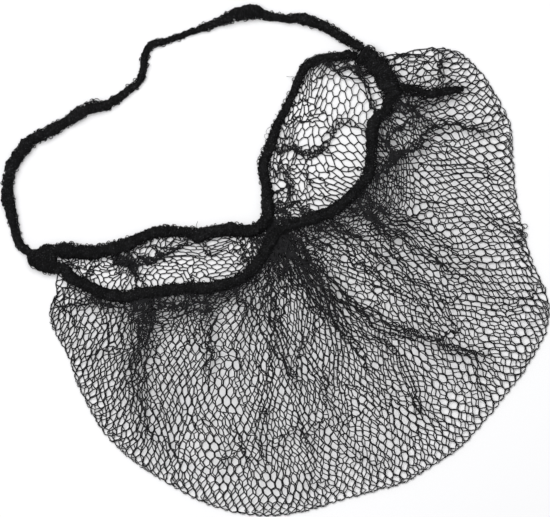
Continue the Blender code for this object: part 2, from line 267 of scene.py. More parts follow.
# Tubes along many paths at once: a ring of corners round every path point, square to the path.
# paths is (threads, points, 3), kept says which points each thread has, in one unbroken run.
# Three corners 1.21 radii out look as wide from any side, on the mean, as a round thread does.
def threadTubes(paths, radius, kept=None, sides=3):
    kept = np.ones(paths.shape[:2], bool) if kept is None else kept
    reach = radius * np.pi / (sides * np.sin(np.pi / sides))
    way = np.gradient(paths, axis=1)
    way /= lengthOf(way)
    aside = np.cross(way, [0.0, 0.0, 1.0])
    flat = lengthOf(aside)
    aside = np.where(flat > 1e-6, aside / flat, [1.0, 0.0, 0.0])
    upward = np.cross(aside, way)
    turn = (np.arange(sides) + 0.25) * 2 * np.pi / sides
    ring = aside[:, :, None] * np.cos(turn)[:, None] + upward[:, :, None] * np.sin(turn)[:, None]
    points = (paths[:, :, None] + ring * reach)[kept].reshape(-1, 3)
    index = np.full(kept.shape, -1)
    index[kept] = np.arange(kept.sum())
    both = kept[:, :-1] & kept[:, 1:]
    low = index[:, :-1][both][:, None] * sides
    high = index[:, 1:][both][:, None] * sides
    this = np.arange(sides)
    after = (this + 1) % sides
    walls = np.stack([low + this, low + after, high + after, high + this], axis=2).reshape(-1, 4)
    first = kept & ~np.pad(kept, ((0, 0), (1, 0)))[:, :-1]
    last = kept & ~np.pad(kept, ((0, 0), (0, 1)))[:, 1:]
    begin = index[first][:, None] * sides + this[::-1]
    end = index[last][:, None] * sides + this
    return points, [walls, np.concatenate([begin, end])]


# Finishes


# A node's output with arithmetic: each operator adds a Math node.
class Socket:
    def __init__(self, shade, link):
        self.shade = shade
        self.link = link

    def math(self, operation, first, second):
        return self.shade.node("ShaderNodeMath", {"operation": operation}, {0: first, 1: second})

    def __add__(self, other):
        return self.math("ADD", self, other)

    def __sub__(self, other):
        return self.math("SUBTRACT", self, other)

    def __rsub__(self, other):
        return self.math("SUBTRACT", other, self)

    def __mul__(self, other):
        return self.math("MULTIPLY", self, other)

    __radd__ = __add__
    __rmul__ = __mul__


# A material under construction; node() adds any node and gives back one of its outputs.
class Shade:
    def __init__(self, name):
        self.material = bpy.data.materials.new(name)
        self.material.use_nodes = True
        self.tree = self.material.node_tree
        self.surface = self.tree.nodes["Principled BSDF"]

    def node(self, kind, settings=None, inputs=None, output=0):
        made = self.tree.nodes.new(kind)
        for key, value in (settings or {}).items():
            if key == "ramp":
                while len(made.color_ramp.elements) < len(value):
                    made.color_ramp.elements.new(0.5)
                for element, (position, colour) in zip(made.color_ramp.elements, value):
                    element.position = position
                    element.color = (*colour, 1.0)
            else:
                setattr(made, key, value)
        self.feed(made, inputs or {})
        return Socket(self, made.outputs[output])

    def feed(self, node, inputs):
        for key, value in inputs.items():
            if isinstance(value, Socket):
                self.tree.links.new(value.link, node.inputs[key])
            else:
                node.inputs[key].default_value = value

    def noise(self, place, scale, detail):
        inputs = {"Vector": place, "Scale": scale, "Detail": detail}
        return self.node("ShaderNodeTexNoise", {}, inputs)

    def finish(self, inputs):
        self.feed(self.surface, inputs)
        return self.material


# A finish whose colours follow a pattern through a ramp. Its roughness goes up with that pattern, and
# its bump is the height's.
def patterned(shade, look, pattern, height):
    bump = {"Strength": look["bump"], "Distance": look["depth"], "Height": height}
    return shade.finish({
        "Base Color": shade.node("ShaderNodeValToRGB", {"ramp": look["colours"]}, {"Fac": pattern}),
        "Roughness": look["matt"] + look["uneven"] * pattern,
        "Specular IOR Level": look["gloss"],
        "Normal": shade.node("ShaderNodeBump", {}, bump),
    })


# Black nylon filament: near black, a little lighter in patches, with a soft shine.
def threadFinish():
    look = {
        "colours": [(0.35, (0.006, 0.006, 0.007)), (0.70, (0.018, 0.018, 0.020))],
        "matt": 0.55, "uneven": 0.16, "gloss": 0.22, "bump": 0.35, "depth": 0.00005,
        "patches": 420.0, "grain": 5200.0,  # so many to the metre
    }
    shade = Shade("blackNetThread")
    place = shade.node("ShaderNodeTexCoord", output=3)
    patches = shade.noise(place, look["patches"], 3.0)
    return patterned(shade, look, patches, shade.noise(place, look["grain"], 2.0))


# Shirred net round elastic: matt black fuzz, with lighter flecks painted into its colour as painted
# highlights where threads shine.
def bandFinish():
    look = {
        "colours": [
            # The lightest stop is the painted highlight of shining threads
            (0.40, (0.003, 0.003, 0.003)), (0.60, (0.009, 0.009, 0.010)), (0.74, (0.060, 0.060, 0.064)),
        ],
        "matt": 0.80, "uneven": 0.1, "gloss": 0.12, "bump": 0.6, "depth": 0.0002, "grain": 1500.0,
    }
    shade = Shade("blackShirredNet")
    place = shade.node("ShaderNodeTexCoord", output=3)
    # Painted highlight: this noise lifts flecks of the colour to the ramp's lightest grey where threads
    # would shine. It also sets the roughness and feeds the bump.
    paintedSheenFlecks = shade.noise(place, look["grain"], 3.0)
    weave = shade.node("ShaderNodeTexVoronoi", {}, {"Vector": place, "Scale": look["grain"]})
    return patterned(shade, look, paintedSheenFlecks, paintedSheenFlecks + 0.6 * weave)


netThread = threadFinish()
shirredNet = bandFinish()

# Where the bands run


# A band's middle line: x, y, width and lift, eased through its own rows and its two ends.
def bandCurve(band, first=(), last=()):
    rows = placed(band["route"])
    if rows.shape[1] < 4:
        rows = np.column_stack([rows, np.zeros(len(rows))])
    rows[:, 2] *= band["width"]
    head = [[*point, *rows[0, 2:]] for point in first]
    tail = [[*point, *rows[-1, 2:]] for point in last]
    return smoothly(np.array([*head, *rows, *tail]))


# Two points of a band that leaves a corner's end: one a gap off it, one further out.
def seats(corner, end, share, lead=3.5, gap=0.3):
    way = headingOf(corner)[end]
    outward = way if end else -way
    root = corner[end, :2] + rightOf(way) * share * corner[end, 2] + outward * gap
    return [root, root + outward * lead]


leftCorner = bandCurve(leftGather)
rightCorner = bandCurve(rightGather)
loopLine = bandCurve(headLoop, seats(leftCorner, 0, 0.0), seats(rightCorner, 0, -0.24)[::-1])
backLine = bandCurve(backRim, seats(leftCorner, -1, -0.28), seats(rightCorner, 0, 0.25)[::-1])
frontLine = bandCurve(frontRim, seats(leftCorner, -1, 0.28), seats(rightCorner, -1, 0.0)[::-1])
frontBase = heights["onBackNet"] + (heights["onBackRim"] - heights["onBackNet"]) * frontLine[:, 3]
outline = smoothly(placed(pouchOutline))

# The knitted net

net = {
    "cell": 4.2,  # width of a relaxed hexagon, across the columns
    "pitch": 4.2,  # distance between its rows
    "join": 2.5,  # length of the stretch where two threads run together
    "side": 3.05,  # length of a single thread from join to join
    "thread": 0.49,  # thickness of one thread
    "ease": 0.16,  # share of the cloth's length over which its pressing sets in
    "spread": 1.35,  # width of the streaks, as a share of the widths in their tables
    "take": 1.05,  # cloth that a streak takes in from each side, for each mm of its depth
    "waver": 0.75,  # how far its small pleats swing, as a share of its depth
    "pleat": 5.6,  # width of the small pleats in a streak, before they are folded
    "apart": 0.16,  # how far two threads lie apart where they join, as a share of one
    "over": 0.7,  # how far one passes over the other there, as the same share
    "under": 1.5,  # how far the cloth runs on under its lip
    "scallop": (0.0, 0.50, 0.68),  # how far out of the outline a scallop's three points stand
    "seed": 21,
}

# Lines of the fan that the thread columns run along: lip x, y, then outline x, y, then how much longer
# the cloth is than its way from the outline to the lip, and how full it is across
frontFan = [
    (-92, -13, -110, -20, 0.50, 1.2), (-85, -17, -107, -39, 0.50, 1.4), (-72, -18, -99, -60, 0.60, 1.4),
    (-65, -17, -91, -78, 0.85, 1.3), (-57, -16, -81, -90, 0.85, 1.2), (-45, -14, -62, -106, 0.70, 1.1),
    (-34, -14, -34, -121, 0.45, 1.0), (-18, -11, -15, -126, 0.24, 1.0), (-3, 7, 24, -123, 0.16, 1.0),
    (6, 18, 85, -100, 0.20, 1.0), (38, 31, 133, -42, 0.42, 0.95), (44, 39, 126, 11, 0.95, 0.85),
    (54, 74, 115, 75, 0.88, 0.95), (58, 80, 98, 99, 0.50, 1.35), (60, 87, 80, 103, 0.55, 1.7),
]
backFan = [
    (-98, 5, -106, -16, 0.40, 0.9), (-94, 4, -104, -50, 0.50, 1.3), (-84, 4, -93, -74, 0.50, 1.3),
    (-70, 7, -70, -98, 0.50, 1.2), (-52, 10, -46, -117, 0.46, 1.1), (-30, 13, -24, -125, 0.40, 1.0),
    (-13, 14, -8, -127, 0.32, 0.92), (-7, 15, 24, -123, 0.20, 0.9), (-4, 18, 60, -112, 0.15, 0.9),
    (-4, 21, 110, -75, 0.15, 0.92), (-3, 26, 133, -44, 0.24, 0.95), (-3, 34, 132, -25, 0.28, 1.08),
    (-3, 44, 128, -4, 0.28, 1.18), (-2, 56, 124, 20, 0.27, 1.2), (3, 72, 120, 42, 0.25, 1.2),
    (9, 88, 117, 62, 0.24, 0.98), (18, 99, 112, 80, 0.26, 0.78), (32, 101, 100, 98, 0.32, 0.74),
    (44, 103, 62, 104, 0.50, 1.7),
]

# Streaks where the cloth is gathered: points along each, its depth, and how far from it the cloth is
# drawn in, at its start and at its end. The depth is in mm: so much cloth is taken in from each side,
# and by shares of it the small pleats swing and rise.
frontFolds = [
    ([(-112, -22), (-96, -22), (-80, -26)], 3.0, 9, 9),
    ([(-93, -13), (-84, -20), (-76, -24)], 1.8, 9, 11),
    ([(-72, -20), (-71, -45), (-70, -66)], 1.6, 9, 6),
    ([(-64, -17), (-66, -36), (-66, -52), (-65, -80), (-57, -102)], 3.2, 20, 15),
    ([(-66, -19), (-51, -23), (-38, -20)], 2.6, 12, 9),
    ([(-34, -14), (-34, -41), (-35, -69)], 3.0, 10, 6),
    ([(-28, -40), (-13, -61)], 2.0, 6, 6),
    ([(-20, -13), (-17, -34), (-10, -58)], 1.3, 8, 6),
    ([(-15, -16), (-1, -44), (10, -59), (16, -69)], 2.6, 10, 6),
    ([(-1, 8), (10, -1), (21, -14), (33, -36), (42, -55)], 1.9, 14, 7),
    ([(6, 9), (17, -2), (28, -14), (49, -30)], 2.4, 16, 7),
    ([(44, -27), (60, -34), (73, -39), (91, -44), (109, -47), (120, -42)], 4.4, 8, 6),
    ([(24, 17), (45, 0), (62, -8), (76, -14)], 1.4, 12, 7),
    ([(40, 28), (62, -4), (73, -17), (84, -28), (95, -38)], 2.4, 14, 8),
    ([(41, 25), (52, 17), (63, 9), (83, -5), (103, -18)], 2.8, 12, 8),
    ([(62, 20), (80, 10), (98, -2), (113, -15)], 1.6, 8, 7),
    ([(46, 42), (66, 24), (86, 12)], 1.2, 9, 7),
    ([(99, -47), (101, -68)], 2.0, 6, 6),
    ([(126, 18), (112, 14), (104, 8)], 1.4, 6, 7),
    ([(50, 50), (60, 55), (68, 60)], 2.6, 8, 8),
    ([(51, 60), (60, 66), (68, 70)], 2.8, 9, 8),
    ([(52, 70), (60, 76), (70, 78)], 2.8, 9, 8),
    ([(48, 42), (60, 50), (72, 59), (79, 66), (86, 68), (97, 67), (112, 67)], 6.2, 10, 6),
    ([(50, 62), (58, 56), (66, 53), (73, 57), (79, 63)], 2.2, 7, 6),
    ([(83, 106), (84, 97), (83, 86)], 3.6, 6, 6),
    ([(74, 62), (86, 67), (97, 66), (108, 66), (118, 63)], 3.0, 7, 5),
    ([(60, 84), (76, 80), (94, 82)], 1.6, 9, 7),
    ([(66, 98), (72, 92), (76, 84)], 2.4, 8, 7),
]
backFolds = [
    ([(14, 97), (24, 97), (36, 93), (49, 90)], 4.0, 9, 9),
    ([(26, 92), (36, 87), (46, 84)], 3.0, 8, 8),
    ([(22, 99), (32, 99), (42, 97), (50, 93)], 3.4, 8, 9),
    ([(40, 98), (47, 88), (52, 78), (54, 70)], 4.4, 11, 9),
    ([(2, 66), (10, 70), (20, 70)], 1.0, 5, 5),
    ([(-1, 63), (8, 64), (15, 62)], 1.8, 5, 5),
    ([(2, 46), (5, 38), (6, 28)], 2.0, 5, 5),
    ([(-6, 55), (8, 56), (15, 53), (22, 55), (25, 60), (29, 66), (33, 69), (38, 70), (43, 67), (50, 61),
      (62, 52)], 5.0, 6, 6),
    ([(15, 45), (19, 34)], 2.4, 5, 5),
    ([(-3, 24), (10, 29), (24, 36)], 1.0, 7, 7),
    ([(-3, 32), (8, 35), (18, 40)], 1.0, 5, 5),
    ([(-100, 4), (-90, 4), (-82, 2), (-76, -3), (-71, -9), (-63, -16)], 4.2, 7, 8),
    ([(-78, -1), (-67, -3), (-57, 0), (-46, 5), (-34, 9)], 3.8, 8, 7),
    ([(-78, 4), (-62, 6), (-46, 12), (-30, 13), (-14, 10)], 2.4, 8, 7),
    ([(-40, 12), (-35, 6), (-30, 3)], 2.6, 8, 7),
    ([(-64, -30), (-72, -60)], 1.2, 10, 8),
    ([(20, -10), (40, -30), (60, -44)], 1.4, 12, 8),
    ([(60, 20), (90, 30)], 1.0, 10, 8),
]


# Where the net hangs on the lips
hang = {
    "beside": 0.15,  # how far to the right of a band's middle, as a share of its width
    "start": 7.0,  # mm along the front lip before the net starts
    "corner": 0.30,  # share of the right gather that carries none of the front layer
    "front": 0.74,  # share by which spare cloth is shortened where it meets the lip
    "back": 0.66,  # the same for the back layer
}


# The line beside a band's middle that the net hangs on.
def lipLine(curve):
    return curve[:, :2] + rightOf(headingOf(curve)) * (hang["beside"] * curve[:, 2:3])


carries = alongCurve(frontLine) > hang["start"]
flank = rightCorner[int(len(rightCorner) * hang["corner"]):][::-1]
frontLip = np.concatenate([lipLine(frontLine)[carries], lipLine(flank)])
backLip = lipLine(backLine)


# A fan of straight lines from the outline to a lip. Across adds up the outline's steps as seen square
# to the lines, so equal steps of it are equal columns. Behind adds up the outline's steps along the
# lines, so a row that keeps one value of (length run + behind) crosses every line squarely.
def fanFrame(lip, table, pressing, count=1600):
    table = np.asarray(table, float)
    shares = np.linspace(0.0, 1.0, count)
    edgeShares = np.concatenate([[0.0], nearestShare(outline, table[1:-1, 2:4]), [1.0]])
    lipShares = np.concatenate([[0.0], nearestShare(lip, table[1:-1, :2]), [1.0]])
    soft, reach = 18.0, 45  # steps over which the table's corners are softened, and where that ends
    bell = np.exp(-0.5 * (np.arange(-reach, reach + 1) / soft) ** 2)

    # The table's values at equal shares of the way, blurred by the bell
    def softly(values):
        column = np.interp(shares, edgeShares, values)
        before = 2 * column[0] - column[reach:0:-1]
        after = 2 * column[-1] - column[-2 : -reach - 2 : -1]
        return np.convolve(np.concatenate([before, column, after]), bell / bell.sum(), mode="valid")

    mapped = softly(lipShares)
    root = atLengths(outline, shares * alongCurve(outline)[-1])[:, :2]
    ray = atLengths(lip, np.clip(mapped, 0, 1) * alongCurve(lip)[-1])[:, :2] - root
    length = np.linalg.norm(ray, axis=1)
    heading = ray / length[:, None]
    step = np.gradient(root, axis=0)
    square = np.abs(step[:, 0] * heading[:, 1] - step[:, 1] * heading[:, 0])
    across = np.cumsum(square * softly(table[:, 5]))
    behind = np.cumsum((step * heading).sum(axis=1))
    return {
        "across": across - across[0], "behind": behind - behind.min(), "reach": length,
        "length": length * (1 + softly(table[:, 4])), "root": root, "heading": heading,
        "pressing": pressing,
    }


# A point of the fan: across picks the line, ahead less the line's own start is the length run in the
# cloth. The spare length is taken up near the lip, where the cloth is shortened by the pressed share.
# That rises by a smooth step as wide as twice the ease, placed so that the cloth ends at the lip;
# shortened is the step's integral.
def onFan(fan, across, ahead):
    # A column of the fan on the lines there
    def read(column):
        return np.interp(across, fan["across"], column)

    run = ahead - read(fan["behind"])
    length = read(fan["length"])
    inward = np.clip(run / length, 0.0, 1.0)
    taken = (length - read(fan["reach"])) / (length * fan["pressing"])
    ease = np.minimum(net["ease"], taken)
    t = np.clip((inward - 1 + taken + ease) / (2 * ease), 0.0, 1.0)
    pressed = fan["pressing"] * t * t * (3 - 2 * t)
    shortened = 2 * ease * (t**3 - t**4 / 2) + np.maximum(inward - 1 + taken - ease, 0.0)
    along = np.clip(run, 0.0, length + net["under"]) - fan["pressing"] * length * shortened
    plan = [read(fan["root"][:, i]) + along * read(fan["heading"][:, i]) for i in (0, 1)]
    return np.stack(plan, axis=-1), run, length, pressed


# Points drawn in to each streak. At a distance of x half spreads a point comes nearer by the take times
# 2x / (1 + x squared), so the cloth beside it crowds in and the cloth further out is stretched a little.
# A wave in the distance adds small pleats that wander along it. Gathered is how much a point is in such
# a streak; loose is how free it is to move.
def pleated(points, folds, loose):
    flat = points.reshape(-1, 2)
    loose = loose.ravel()
    lift = np.zeros(len(flat))
    gathered = np.zeros(len(flat))
    for number, (line, depth, head, foot) in enumerate(folds):
        line = evenly(smoothly(np.asarray(line, float), 12), 60)
        total = alongCurve(line)[-1]
        nearest = np.linalg.norm(flat[:, None] - line, axis=2).argmin(axis=1)
        way = headingOf(line)[nearest]
        offset = flat - line[nearest]
        there = alongCurve(line)[nearest] + (offset * way).sum(axis=1)
        side = (offset * rightOf(way)).sum(axis=1)
        reach = net["spread"] * (head + (foot - head) * np.clip(there / total, 0, 1))
        ends = smoothStep(-0.5 * head, 0.15 * total, there)
        ends = ends * smoothStep(-0.5 * foot, 0.35 * total, total - there)
        near = ends * (1 - np.clip(side / reach, -1, 1) ** 2) ** 2
        x = 2 * side / reach
        wander = 1.3 * np.sin(there / 3.1 + 1.7 * number) + 0.9 * np.sin(there / 7.3 + 2.9 * number)
        wave = 2 * np.pi * (side + wander) / net["pleat"]
        fade = 1 - smoothStep(14.0, 34.0, np.abs(side))
        move = net["waver"] * near * np.sin(wave) - net["take"] * ends * fade * 2 * x / (1 + x**2)
        flat = flat + rightOf(way) * (depth * loose * move)[:, None]
        lift = lift + depth * near * (0.6 + 0.4 * np.cos(wave))
        gathered = np.maximum(gathered, near)
    shape = points.shape[:-1]
    return flat.reshape(points.shape), lift.reshape(shape), gathered.reshape(shape)


# Threads brought back to their lengths: each moves its two ends by a third of its error a turn. A thread
# never stays longer than it is, and stays shorter only down to a share of that, as it bends.
# Neighbouring joins of a row keep their distance where the cloth is open, so streaks take up the rest.
def relaxed(start, stop, freeStart, freeStop, shortest, nearest, odd, turns=180):
    freeStart, freeStop, shortest = freeStart[..., None], freeStop[..., None], shortest[..., None]
    between = (nearest[:, 1:] + nearest[:, :-1])[..., None] / 2

    # How far two ends are past their length, or short of the shortest
    def error(a, b, length, shortest):
        gap = b - a
        far = lengthOf(gap)
        return gap / far * (far - np.clip(far, shortest * length, length))

    for _ in range(turns):
        moveStart, moveStop = np.zeros_like(start), np.zeros_like(stop)
        e = error(start, stop, net["join"], shortest)
        moveStart += e
        moveStop -= e
        for rowsOdd in (False, True):
            rows = np.flatnonzero(odd[:-1] == rowsOdd)
            for offset in ((0, 1) if rowsOdd else (-1, 0)):
                low = slice(max(0, -offset), stop.shape[1] - max(0, offset))
                high = slice(max(0, offset), stop.shape[1] - max(0, -offset))
                e = error(stop[rows][:, low], start[rows + 1][:, high], net["side"], shortest[rows][:, low])
                moveStop[rows, low] += e
                moveStart[rows + 1, high] -= e
        for ends, move in ((start, moveStart), (stop, moveStop)):
            gap = ends[:, 1:] - ends[:, :-1]
            far = lengthOf(gap)
            e = 0.6 * gap / far * np.minimum(far - between * net["cell"], 0.0)
            move[:, :-1] += e
            move[:, 1:] -= e
        start = start + moveStart * freeStart / 3
        stop = stop + moveStop * freeStop / 3
    return start, stop


# Height of the front layer: steeply up from the outline, then over to the lip.
def frontHeight(inward, share):
    lift = np.interp(share, np.linspace(0, 1, len(lipHeights)), lipHeights)
    loft = heights["pouchLoft"] * (1 - (1 - heights["cornerLoft"]) * np.abs(2 * share - 1) ** 4)
    crown = loft * (1 - inward**2) + lift * inward**2
    return heights["edge"] + (crown - heights["edge"]) * (1 - (1 - inward) ** 4)


lipTop = (frontBase + heights["band"] / 2 * frontLine[:, 2])[carries]
flankTop = np.full(len(flank), heights["onBackNet"] + rightGather["height"] / 2)
lipHeights = np.concatenate([lipTop, flankTop])

# How the cloth strays: mm, then the reach of that over rows and over half columns
stray = {
    "drift": (1.3, 3.2, 5.0),  # slow drift of whole stretches
    "bunch": (1.3, 1.4, 2.2),  # a few cells that crowd or part
    "streak": (1.6, 5.0, 1.6),  # streaks that run up to the lip
    "own": (1.0, 0.55, 0.9),  # each join's own way, of which shares follow
    "end": (1.0, 0.5, 0.5),  # what the inner end of a join adds to it
    "patchy": (0.28, 1.1, 2.0),  # patches of wider and narrower cells, as a share of a cell
    "cell": 0.50,  # share of a join's own way in open cloth
    "crumple": 0.5,  # what comes on top near the lip
    "knot": 0.60,  # share of it that is put back inside a streak
    "slack": 0.84,  # share of its length down to which a thread bends in open cloth
    "bunched": 0.55,  # the same where the cloth is pressed against the lip
    "folded": 0.30,  # and in a streak
    "held": 0.97,  # how little pressed cloth slips back when its threads settle
    "firm": 0.96,  # the same in a streak
    "open": 0.84,  # distance that neighbouring joins keep, as a share of a cell
    "closed": 0.08,  # the same in a streak
    "ripple": (0.35, 0.15),  # how far the front and the back layer rise and fall
    "fold": (0.45, 0.5),  # rise of each in a streak, as a share of its depth
}


# One layer's threads, as tubes. Joins stand on half columns, every other row moved by one. Thread j
# zigzags between half columns j and j + 1, and starts with a scallop on the outline, where the cloth
# folds to the other layer.
def knitted(fan, folds, parity, seed, front):
    pitch = net["pitch"]
    cells = int(round(fan["across"][-1] / net["cell"]))
    half = fan["across"][-1] / (2 * cells)
    rows = int((fan["behind"] + fan["length"]).max() / pitch) + 3
    odd = (np.arange(rows) + parity) % 2 == 1
    column = 2 * np.arange(cells) + odd[:, None]
    row = np.arange(rows)[:, None]

    # The noise of that name, read at the joins
    def noise(name, more):
        size, *reach = stray[name]
        return size * softNoise((rows, 2 * cells), reach, seed + more)[row, column]

    drift = [noise("drift", axis) + noise("bunch", 8 + axis) for axis in (0, 1)]
    streak = noise("streak", 2)
    own = [noise("own", 3 + axis) for axis in (0, 1)]

    # One end of every join: moved by noise, drawn in by the streaks, and shaken there
    def joinEnd(further, wobble):
        across = (column + 0.5) * half
        ahead = (row - 1.5) * pitch + further
        run, length = onFan(fan, across, ahead)[1:3]
        inward = np.clip(run / length, 0.0, 1.0)
        off = smoothStep(0.0, 9.0, run)
        grow = off * (0.35 + 0.65 * inward)
        loose = off * (stray["cell"] + stray["crumple"] * inward**2)
        moved = across + off * drift[0] + grow * streak + loose * own[0] + loose * 0.6 * wobble[0]
        ahead = ahead + off * drift[1] + loose * own[1] + loose * 0.6 * wobble[1]
        plan, run, length, pressed = onFan(fan, moved, ahead)
        loose = smoothStep(0.0, 7.0, run) * smoothStep(-1.0, 4.0, length - run)
        plan, lift, gathered = pleated(plan, folds, loose)
        knot = off * stray["knot"] * np.maximum(gathered, 0.6 * smoothStep(0.3, 0.9, pressed))
        shake = [own[axis] + 0.6 * wobble[axis] for axis in (1, 0)]
        plan = plan + knot[..., None] * np.stack(shake, axis=-1)
        firm = smoothStep(0.25, 0.60, gathered)
        gathered, pressed = smoothStep(0.12, 0.60, gathered), smoothStep(0.25, 0.85, pressed)
        return plan, run, length, lift, gathered, pressed, firm

    start, startRun, startLength, startLift, gathered, pressed, firm = joinEnd(0.0, own)
    wobble = [noise("end", 6 + axis) for axis in (0, 1)]
    stop, stopRun, stopLength, stopLift = joinEnd(net["join"], wobble)[:4]
    free = 1 - np.maximum(stray["held"] * pressed, stray["firm"] * firm)
    free = free * (0.1 + 0.9 * smoothStep(0.0, 8.0, np.minimum(column, 2 * cells - column)))
    freeStart = free * smoothStep(0.4, 9.0, startRun) * (startRun < startLength)
    freeStop = free * smoothStep(0.4, 9.0, stopRun) * (stopRun < stopLength)
    shortest = stray["slack"] - (stray["slack"] - stray["bunched"]) * pressed
    shortest = shortest - (shortest - stray["folded"]) * gathered
    patchy = np.clip(1 + noise("patchy", 50), 0.4, 1.15)
    nearest = stray["open"] * patchy * (1 - 0.6 * pressed) * (1 - gathered) + stray["closed"] * gathered
    start, stop = relaxed(start, stop, freeStart, freeStop, shortest, nearest, odd)

    j = np.arange(2 * cells - 1)
    k = np.where(odd[:, None], j // 2, (j + 1) // 2)
    a, b = start[row, k], stop[row, k]
    toRight = (2 * k + odd[:, None] == j)[..., None]
    across = rightOf((b - a) / lengthOf(b - a))
    apart = np.where(toRight, -1.0, 1.0) * across * net["thread"] * net["apart"]

    # Four values for each join: at its two ends, and at two points on the way to the next join
    def fourEach(first, second, low, high, near):
        third, fourth = second.copy(), second.copy()
        third[:-1] = (1 - near) * low[:-1] + near * high[1:]
        fourth[:-1] = near * low[:-1] + (1 - near) * high[1:]
        values = np.stack([first, second, third, fourth], axis=1)
        return values.reshape(4 * rows, *first.shape[1:]).swapaxes(0, 1)

    run, length, lift = (
        fourEach(first[row, k], second[row, k], second[row, k], first[row, k], 0.3)
        for first, second in ((startRun, stopRun), (startLength, stopLength), (startLift, stopLift))
    )
    path = np.zeros((*run.shape, 3))
    path[..., :2] = fourEach(0.84 * a + 0.16 * b + apart, 0.16 * a + 0.84 * b + apart, b, a, 0.28)
    inside = np.clip(run / np.maximum(length, 1e-6), 0.0, 1.0)
    ripple = softNoise(run.shape, (6, 7), seed + 30)
    if front:
        level = frontHeight(inside, (j[:, None] + 0.5) / (2 * cells)) + stray["fold"][0] * lift
        level = level + stray["ripple"][0] * ripple * smoothStep(0, 0.1, inside)
    else:
        level = heights["backNet"] + stray["ripple"][1] * ripple.clip(-1.2, 3.0) + stray["fold"][1] * lift
        level = heights["edge"] + (level - heights["edge"]) * smoothStep(0.0, 0.06, inside)
    path[..., 2] = level
    crossing = np.where(toRight[..., 0], 0.5, -0.5).T * net["thread"] * net["over"]
    path[:, 0::4, 2] += crossing
    path[:, 1::4, 2] -= crossing

    # Each thread's first point inside the outline, and the scallop of three points put before it
    point = np.arange(4 * rows)
    first = np.argmax(run > 0.6, axis=1)
    within = (run < length + 0.8) | (point < first[:, None])
    last = np.where(within.all(axis=1), 4 * rows - 3, np.argmin(within, axis=1))
    even, other = j + j % 2, j + 1 - j % 2
    uneven = np.random.default_rng(seed + 40).uniform(0.2, 1.8, len(j))
    outward = -rightOf(headingOf(fan["root"]))
    for back, column, bulge in zip((1, 2, 3), (even, (even + other) / 2, other), net["scallop"]):
        spot = (column + 0.5) * half
        edge = onFan(fan, spot, np.interp(spot, fan["across"], fan["behind"]))[0]
        out = np.stack([np.interp(spot, fan["across"], outward[:, axis]) for axis in (0, 1)], axis=-1)
        path[j, first - back, :2] = edge - (bulge * uneven)[:, None] * out
        path[j, first - back, 2] = heights["edge"]
    kept = (point >= first[:, None] - 3) & (point <= last[:, None])
    return threadTubes(path, net["thread"] / 2, kept)


# Loops of thread slipped out of the outline at its right: x and y along each
slippedLoops = [
    [(120.5, 18.8), (123.5, 17.8), (126.3, 17.6), (126.6, 16.6), (124.8, 15.4), (121.0, 14.4)],
    [(121.0, 14.0), (123.8, 13.9), (126.4, 13.2), (126.4, 11.6), (124.2, 10.4), (121.0, 9.8)],
    [(121.0, 18.0), (124.0, 16.8), (125.4, 15.8), (123.4, 14.8), (121.0, 13.2)],
    [(121.0, 14.6), (123.6, 13.0), (125.2, 12.0), (123.8, 11.0), (121.4, 9.0)],
]


# Single threads through the given points, gently waving in height.
def fibres(lines, level=2.2, thick=0.17, count=14):
    paths = np.stack([evenly(smoothly(np.asarray(line, float), 12), count) for line in lines])
    height = level + 0.5 * np.sin(np.linspace(0, 3, count))
    paths = np.concatenate([paths, np.broadcast_to(height[:, None], (*paths.shape[:2], 1))], axis=2)
    return threadTubes(paths, thick / 2)


print("scene: front layer of the net")
layer = knitted(fanFrame(frontLip, frontFan, hang["front"]), frontFolds, 0, net["seed"], True)
layer = together(layer, fibres(slippedLoops, 0.9, 0.36))
frontNet = addPiece("front_net_threads", layer, netThread, "front_net")

print("scene: back layer of the net")
layer = knitted(fanFrame(backLip, backFan, hang["back"]), backFolds, 1, net["seed"] + 100, False)
backNet = addPiece("back_net_threads", layer, netThread, "back_net")

# Bands: a ribbed core, the net's threads wound over it, small loops off it, stray fibres

wrap = {
    "core": 0.88,  # core's width as a share of the band's, unless it has its own
    "lump": 0.11,  # how uneven the core is, as a share of the band's half width, likewise
    "leaning": 1.0,  # how the ends lean: 1 outward going up, -1 back, 0 not at all
    "rib": 1.3,  # spacing of the core's cross ribs
    "ribDepth": 0.05,  # half their depth, as a share of the band's half width
    "pitch": 0.66,  # spacing of the threads that cross a band
    "thread": 0.32,  # thickness of those threads
    "swing": 0.50,  # how far such a thread zigzags along the band
    "proud": 0.12,  # how far it stands off the core
    "points": 13,  # points along it
    "loops": 2.6,  # loops for each millimetre of band
    "loopThread": 0.34,  # thickness of a loop's thread
    "strand": 0.36,  # thickness of the threads that run along a gather
    "lean": 0.22,  # slope of the ends that meet a corner, so that no floor shows
    "leanLevel": 3.0,  # height at which a leaning end stays in place
    "leanReach": 2.5,  # length over which the lean dies away
    "level": 0.45,  # middle of a section's height, as a share of it
    "below": 0.8,  # share of the lower half of a section that is round, above its flat
}

# Stray fibres and small loops off the bands: x and y along each
strayFibres = [
    [(12.5, 90.5), (9.0, 91.6), (7.5, 91.5), (6.0, 91.8)],
    [(3.5, 70.0), (2.2, 71.2), (1.2, 72.2), (0.2, 72.9)],
    [(-38.6, 14.5), (-39.0, 17.5), (-38.4, 19.2)],
    [(1.0, 59.0), (-2.2, 59.4), (-4.6, 60.6), (-5.0, 62.6), (-2.2, 63.0), (1.4, 61.6)],
    [(2.0, 66.0), (-1.4, 66.6), (-3.8, 65.2), (-4.2, 63.4), (-1.8, 62.6), (1.6, 63.0)],
    [(0.6, 57.5), (-1.6, 57.2), (-3.0, 58.4), (-2.4, 60.4), (0.6, 60.2)],
]


# What places points on a band: its line's columns, its length and its own values.
def bandShape(band, line, base):
    base = np.broadcast_to(base, len(line))
    tall = np.full(len(line), band["height"]) if "height" in band else line[:, 2] * heights["band"]
    columns = np.column_stack([line[:, :3], base, tall, headingOf(line)])
    own = {name: band.get(name, wrap[name]) for name in ("core", "lump", "leaning")}
    return {"columns": columns, "total": alongCurve(line)[-1], "seed": band["seed"], **own}


